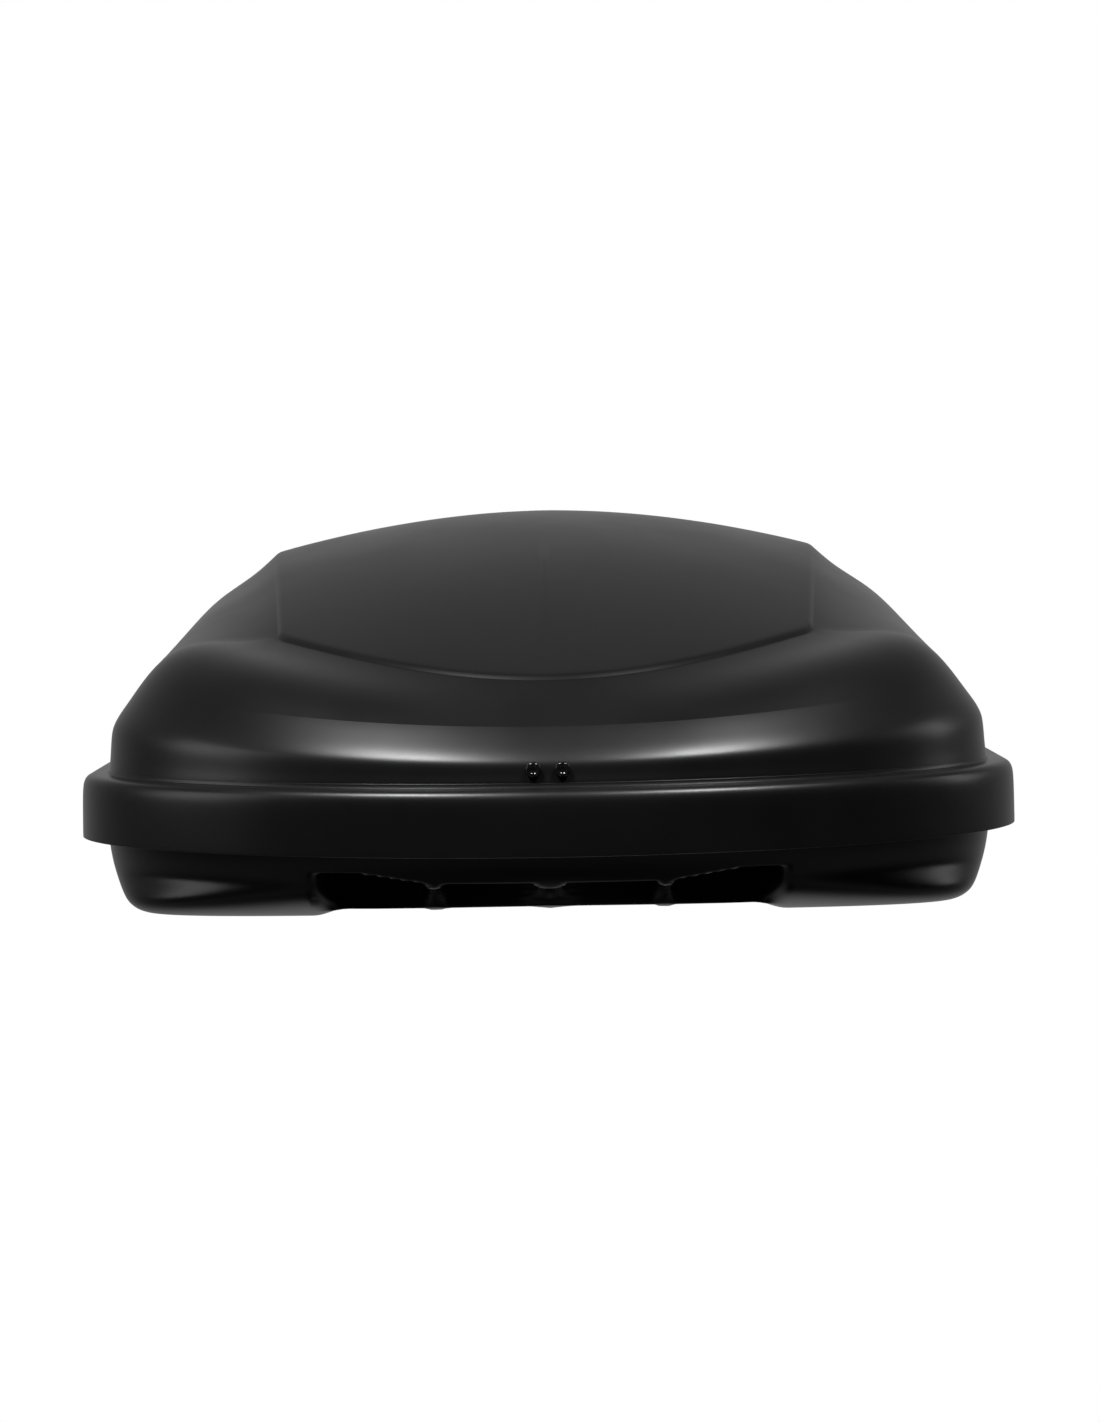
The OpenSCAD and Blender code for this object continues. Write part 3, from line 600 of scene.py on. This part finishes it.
# Rivets of the hinge: a polished round rim about a sunk middle, and a tail set inside
polished = new_material("polished_black_nylon", (0.008, 0.008, 0.0085), 0.16)[0]
rivets = []
RIVET_Z, RIVET_GAP = 155.0, 28.0
head_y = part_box("hinge_rivets")[0].y / MM
head = [(0.3, 1.4), (2.6, 1.35), (3.2, 1.0)]
head += [(5.2 - 2.2 * math.cos(a), 2.3 - 2.3 * math.sin(a)) for a in np.linspace(0.7, math.pi, 10)]
tail = [(7.4, 4.2), (6.6, 5.4), (3.0, 5.6), (3.0, 15.0), (5.0, 15.3), (5.2, 16.4), (4.6, 17.1),
        (0.5, 17.2)]
for side in (-1, 1):
    place = (side * RIVET_GAP / 2, head_y, RIVET_Z)
    rivets.append(turned("rivet", head + tail, place, "Y", polished))
stand_in(joined("hinge_rivet_heads", rivets), "hinge_rivets", "lid")

# Seal: a bulb on a flat foot, laid along the rim and open at the hinge
SEAL_INSET, HINGE_GAP = 19.0, 31.0
SEAL = [(-4.0, 0.0), (4.0, 0.0), (4.0, 0.9), (3.2, 1.3), (3.5, 2.2), (3.0, 3.2), (1.8, 3.8),
        (0.0, 4.0), (-1.8, 3.8), (-3.0, 3.2), (-3.5, 2.2), (-3.2, 1.3), (-4.0, 0.9)]
path = flat_ring(SEAL_INSET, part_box("rim_seal")[0].z / MM)
path = path[(np.abs(path[:, 0]) > HINGE_GAP) | (path[:, 1] > NOSE_MID)]
start = int(np.argmax(np.linalg.norm(np.roll(path, -1, axis=0) - path, axis=1))) + 1
path = np.roll(path, -start, axis=0)
along = np.gradient(path, axis=0)
across = np.stack([along[:, 1], -along[:, 0], along[:, 2] * 0.0], axis=1)
across /= np.linalg.norm(across, axis=1, keepdims=True)
rings = [[p + a * u + np.array((0.0, 0.0, v)) for u, v in SEAL] for p, a in zip(path, across)]
seal = grid_object("rim_seal_bulb", rings, MATERIALS["seal_rubber"])
stand_in(seal, "rim_seal", "base")


# Knobs: three lobes on a round hub, as (hub radius, share of the lobes, height)
KNOB = [(4.3, 0, 0.2), (11.0, 0, 0.0), (12.5, 0, 0.7), (13.0, 0, 2.0), (12.8, 0, 7.2),
        (12.2, 0.35, 9.0), (12.1, 0.8, 9.9), (12.4, 0.95, 10.6), (12.9, 1.0, 12.5),
        (12.9, 1.0, 21.5), (12.4, 0.96, 23.8), (11.4, 0.88, 25.3), (10.0, 0.74, 25.9),
        (8.0, 0.3, 26.0), (7.2, 0.0, 25.9), (6.9, 0.0, 24.6), (4.3, 0.0, 24.6)]
LEG_Y = 40.0
KNOB_ANGLES = np.linspace(0.0, 2.0 * math.pi, 96, endpoint=False)
LOBES = 15.6 * (0.5 + 0.5 * np.cos(3.0 * KNOB_ANGLES)) ** 2.2
for name in [n for n in frame["nodes"] if n.startswith("knob_")]:
    centre = centre_of("clamp_plate_" + name[len("knob_"):-len("_a")])
    leg_y = centre.y + (LEG_Y if name.endswith("b") else -LEG_Y)
    base_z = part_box(name)[0].z / MM
    rings = []
    for hub, share, up in KNOB:
        r = hub + share * LOBES
        rings.append(np.stack([centre.x + r * np.cos(KNOB_ANGLES),
                               leg_y + r * np.sin(KNOB_ANGLES),
                               np.full(len(KNOB_ANGLES), base_z + up)], axis=1))
    knob = grid_object(name + "_grip", rings, MATERIALS["black_plastic"], closed=True)
    stand_in(knob, name, name)


# U-bolts: a bent rod whose legs are threaded, with the thread's lead and depth
LEG_R, BEND_R, PITCH, THREAD = 4.0, 8.0, 4.0, 0.9
THREAD_FROM, CHAMFER = 24.0, 1.2
ROD_ANGLES = np.linspace(0.0, 2.0 * math.pi, 20, endpoint=False)
for name in [n for n in frame["nodes"] if n.startswith("ubolt_")]:
    lo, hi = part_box(name)
    cx, cy = (lo.x + hi.x) / 2 / MM, (lo.y + hi.y) / 2 / MM
    low, top, half = lo.z / MM + LEG_R, hi.z / MM, LEG_Y
    points = [(-half, z) for z in np.arange(top, low + BEND_R, -PITCH / 8)]
    points += [(-half + BEND_R * (1 - math.cos(a)), low + BEND_R * (1 - math.sin(a)))
               for a in np.linspace(0.0, math.pi / 2, 9)]
    points += [(-y, z) for y, z in points[::-1]]
    yz = np.array(points)
    t = np.gradient(yz, axis=0)
    t /= np.linalg.norm(t, axis=1, keepdims=True)
    rings = []
    for (y, z), (ty, tz) in zip(yz, t):
        twist = (z / PITCH + math.copysign(1, y) * ROD_ANGLES / (2 * math.pi)) % 1.0
        cut_in = THREAD * (1.0 - np.abs(2.0 * twist - 1.0)) * (z > low + THREAD_FROM)
        chamfer = max(0.0, CHAMFER - (top - z)) * 0.8
        r = LEG_R - cut_in - chamfer
        rings.append(np.stack([cx + r * np.cos(ROD_ANGLES),
                               cy + y - tz * r * np.sin(ROD_ANGLES),
                               z + ty * r * np.sin(ROD_ANGLES)], axis=1))
    rod = grid_object(name + "_rod", rings, MATERIALS["zinc_steel"])
    stand_in(rod, name, name)


# Load straps: woven ribbons sewn into loops round the anchors
WEB_W, WEB_T = 25.0, 1.3
SEAM_HALF, STITCH = 8.5, 3.2
ANCHOR_X, CHEEK_BACK = 205.0, 16.0
THREAD_ANGLES = np.linspace(0.0, 2.0 * math.pi, 6, endpoint=False)


def smooth_path(points, spans=6):
    """Smooth path through the points (Catmull-Rom)."""
    p = [points[0]] + list(points) + [points[-1]]
    p = np.array(p, float)
    out = []
    for i in range(1, len(p) - 2):
        for k in range(spans):
            t = k / spans
            out.append(0.5 * (2 * p[i] + (p[i + 1] - p[i - 1]) * t
                              + (2 * p[i - 1] - 5 * p[i] + 4 * p[i + 1] - p[i + 2]) * t * t
                              + (3 * p[i] - p[i - 1] - 3 * p[i + 1] + p[i + 2]) * t ** 3))
    out.append(p[-2])
    return np.array(out)


def ribbon(name, xz, y, material):
    """Webbing along a path in X and Z: softly rounded selvedges, a slight crown across."""
    path = smooth_path(xz)
    t = np.gradient(path, axis=0)
    t /= np.linalg.norm(t, axis=1, keepdims=True)
    half = WEB_W / 2
    section = [(-half + 0.5, -0.5), (half - 0.5, -0.5), (half, -0.2), (half, 0.2),
               (half - 0.5, 0.5), (half - 2.2, 0.42), (-half + 2.2, 0.42), (-half + 0.5, 0.5),
               (-half, 0.2), (-half, -0.2)]
    rings = [[(px - tz * v * WEB_T, y + u, pz + tx * v * WEB_T) for u, v in section]
             for (px, pz), (tx, tz) in zip(path, t)]
    return grid_object(name, rings, material)


def stitches(x0, x1, y, z, material):
    """A sewn box with a cross, each stitch a short raised thread."""
    h = SEAM_HALF
    corners = [(x0, -h), (x1, -h), (x1, h), (x0, h), (x0, -h), (x1, h), (x1, -h), (x0, h)]
    parts = []
    for (ax, ay), (bx, by) in zip(corners, corners[1:]):
        length = math.hypot(bx - ax, by - ay)
        ux, uy = (bx - ax) / length, (by - ay) / length
        for k in range(int(length // STITCH)):
            s = STITCH * k + 0.5
            rings = []
            for d, r in ((0.0, 0.12), (0.4, 0.38), (1.2, 0.45), (2.0, 0.38), (2.4, 0.12)):
                px, py = ax + ux * (s + d), y + ay + uy * (s + d)
                rings.append([(px - uy * r * math.cos(a), py + ux * r * math.cos(a),
                               z + r * math.sin(a)) for a in THREAD_ANGLES])
            parts.append(grid_object("stitch", rings, material))
    return parts


# Paths in X and in height above the floor. The loop goes from the floor round the anchor's
# bridge and back on top to its seam, with X counted from the anchor.
LOOP = [(-15, 1.0), (8, 1.3), (14, 3.4), (15, 6.5), (12.5, 9.6), (0, 10.1), (-12, 9.8), (-20, 6.6),
        (-28, 3.2), (-36, 2.4), (-63, 2.3)]
LONG_RUN = [(46, 1.0), (20, 0.9), (-40, 0.8), (-110, 0.9)] + [(-ANCHOR_X - x, z) for x, z in LOOP]
SHORT_RUN = [(82, 1.0), (120, 0.9), (160, 0.9)] + [(ANCHOR_X + x, z) for x, z in LOOP]
FREE_END = [(40, 3.6), (24, 3.1), (0, 2.6), (-30, 2.3), (-74, 2.3), (-88, 2.6), (-93, 3.4),
            (-89, 4.0), (-72, 3.7), (-66, 3.6)]
SEAMS = [(-168, -145, 3.0), (145, 168, 3.0), (-84, -68, 4.4)]
CHEEK = [(-16, 0), (22, 0), (23, 1.5), (23, 5), (21, 7), (14, 8), (4, 9.5), (-2, 12.6), (-5, 13),
         (-11, 13), (-14.5, 11), (-16, 8)]
floor_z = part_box("load_strap_front")[0].z / MM
for tag in ("front", "rear"):
    y = centre_of("load_strap_" + tag).y
    webs = [ribbon("web", [(x, floor_z + z) for x, z in run], y, MATERIALS["webbing"])
            for run in (LONG_RUN, FREE_END, SHORT_RUN)]
    sewn = []
    for x0, x1, up in SEAMS:
        sewn += stitches(x0, x1, y, floor_z + up, MATERIALS["stitching"])
    strap = joined("webbing_" + tag, webs)
    stand_in(strap, "load_strap_" + tag, "base")
    seam = joined("stitching_" + tag, sewn)
    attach(seam, "base")

    # Buckle: pressed frame, two cheeks round the cam lever's pin, a bar for the short strap
    steel = MATERIALS["zinc_steel"]
    x0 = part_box("buckle_frame_" + tag)[0].x / MM + CHEEK_BACK
    parts = []
    for side in (-1, 1):
        ys = [side * (WEB_W / 2 + 1.6), side * (WEB_W / 2 + 3.6)][::-side]
        rings = [[(x0 + cx, y + yy, floor_z + cz) for cx, cz in CHEEK] for yy in ys]
        parts.append(grid_object("cheek", rings, steel))
    plate_ring = [(x0 - 16, 0.0), (x0 + 9, 0.0), (x0 + 9, 0.5), (x0 - 16, 0.5)]
    parts.append(grid_object("pan", [[(px, y + yy, floor_z + pz) for px, pz in plate_ring]
                                     for yy in (-WEB_W / 2 - 3, WEB_W / 2 + 3)], steel))
    parts.append(turned("bar", [(0.3, -WEB_W / 2 - 3), (2.0, -WEB_W / 2 - 3), (2.0, WEB_W / 2 + 3),
                                (0.3, WEB_W / 2 + 3)], (x0 + 20, y, floor_z + 3.2), "Y", steel))
    buckle = joined("buckle_" + tag, parts)
    soften(buckle, 0.0003, 40.0)
    stand_in(buckle, "buckle_frame_" + tag, "base")

# Every carried-over node gets softened edges
for row in frame["record"]["subparts"]:
    obj = frame["nodes"][row["node"]]
    if obj.hide_render:
        continue
    obj.modifiers.new("weld", "WELD").merge_threshold = 0.00001
    soften(obj, 0.0004, 35.0)

# ---------------------------------------------------------------- floor, lights, camera
PAPER = 1.0
FLOOR_GLOW = 0.08
# Place along the view direction, from the viewer (0) to far behind (1), and the light there
SKY = [(0.0, 0.004), (1.0, 0.52), (0.42, 0.008), (0.57, 0.03), (0.7, 0.05), (0.8, 0.12),
       (0.92, 0.28)]


def studio():
    world = bpy.data.worlds.new("studio")
    bpy.context.scene.world = world
    world.use_nodes = True
    t = world.node_tree
    back = t.nodes["Background"]
    coord = node(t, "ShaderNodeTexCoord")
    split = node(t, "ShaderNodeSeparateXYZ")
    t.links.new(coord.outputs["Generated"], split.inputs[0])
    # Bright low down behind the object, fading overhead and dark towards the viewer
    sky = node(t, "ShaderNodeValToRGB")
    t.links.new(ramp(t, split.outputs[1], -1.0, 1.0, 0.0, 1.0), sky.inputs["Fac"])
    stops = sky.color_ramp.elements
    for k, (place, level) in enumerate(SKY):
        stop = stops[k] if k < 2 else stops.new(place)
        stop.position = place
        stop.color = (level, level, level, 1.0)
    # The lit floor around the object, but not the floor in its own shade
    near = ramp(t, split.outputs[2], -0.98, -0.72, 0.0, FLOOR_GLOW)
    far = ramp(t, split.outputs[2], -0.6, -0.1, FLOOR_GLOW, 0.0)
    below = node(t, "ShaderNodeMath", operation="MINIMUM")
    t.links.new(near, below.inputs[0])
    t.links.new(far, below.inputs[1])
    light = node(t, "ShaderNodeMath", operation="ADD")
    t.links.new(sky.outputs["Color"], light.inputs[0])
    t.links.new(below.outputs[0], light.inputs[1])
    path = node(t, "ShaderNodeLightPath")
    pick = node(t, "ShaderNodeMix", data_type="FLOAT")
    t.links.new(path.outputs["Is Camera Ray"], pick.inputs[0])
    t.links.new(light.outputs[0], pick.inputs[2])
    pick.inputs[3].default_value = PAPER
    t.links.new(pick.outputs[0], back.inputs["Strength"])
    back.inputs["Color"].default_value = (1, 1, 1, 1)


def floor():
    bpy.ops.mesh.primitive_plane_add(size=60, location=(0, 0, -0.0005))
    plane = bpy.context.object
    plane.name = "floor"
    m = bpy.data.materials.new("white_paper")
    m.use_nodes = True
    p = m.node_tree.nodes["Principled BSDF"]
    p.inputs["Base Color"].default_value = (0, 0, 0, 1)
    p.inputs["Roughness"].default_value = 1.0
    p.inputs["Specular IOR Level"].default_value = 0.0
    p.inputs["Emission Color"].default_value = (1, 1, 1, 1)
    p.inputs["Emission Strength"].default_value = PAPER
    plane.data.materials.append(m)
    plane.visible_diffuse = False
    plane.visible_glossy = False
    plane.visible_shadow = False


def area_light(name, place, target, size, power, size_y=None):
    d = bpy.data.lights.new(name, "AREA")
    d.energy = power
    d.shape = "RECTANGLE"
    d.size = size
    d.size_y = size_y or size
    o = bpy.data.objects.new(name, d)
    bpy.context.collection.objects.link(o)
    o.location = place
    o.rotation_mode = "QUATERNION"
    o.rotation_quaternion = (Vector(target) - Vector(place)).to_track_quat("-Z", "Y")
    o.visible_camera = False


def camera():
    """A long lens in front of the nose, turned by angles in degrees."""
    d = bpy.data.cameras.new("camera")
    d.sensor_width = 36.0
    d.lens = 101.6962
    o = bpy.data.objects.new("camera", d)
    bpy.context.collection.objects.link(o)
    bpy.context.scene.camera = o
    o.location = (0.0, NOSE_Y * MM - 3.8, 0.412)
    pan, pitch, roll = -0.0428, 3.0068, 0.95
    turn = Matrix.Rotation(math.radians(pan), 3, "Z")
    tip = Matrix.Rotation(math.radians(90.0 - pitch), 3, "X")
    level = Matrix.Rotation(-math.radians(roll), 3, "Z")
    o.rotation_mode = "QUATERNION"
    o.rotation_quaternion = (turn @ tip @ level).to_quaternion()


studio()
floor()
area_light("key_left", (-1.1, -1.7, 2.5), (0, -0.75, 0.15), 0.6, 62.0, 0.45)
area_light("key_right", (1.25, -1.7, 2.5), (0, -0.75, 0.15), 0.6, 50.0, 0.45)
area_light("side_left", (-3.4, -0.9, 1.3), (0, -0.3, 0.2), 1.6, 16.0, 1.8)
area_light("side_right", (3.6, 0.6, 1.2), (0, -0.2, 0.2), 0.8, 8.0, 1.6)
camera()
bpy.context.scene.view_settings.view_transform = "Standard"
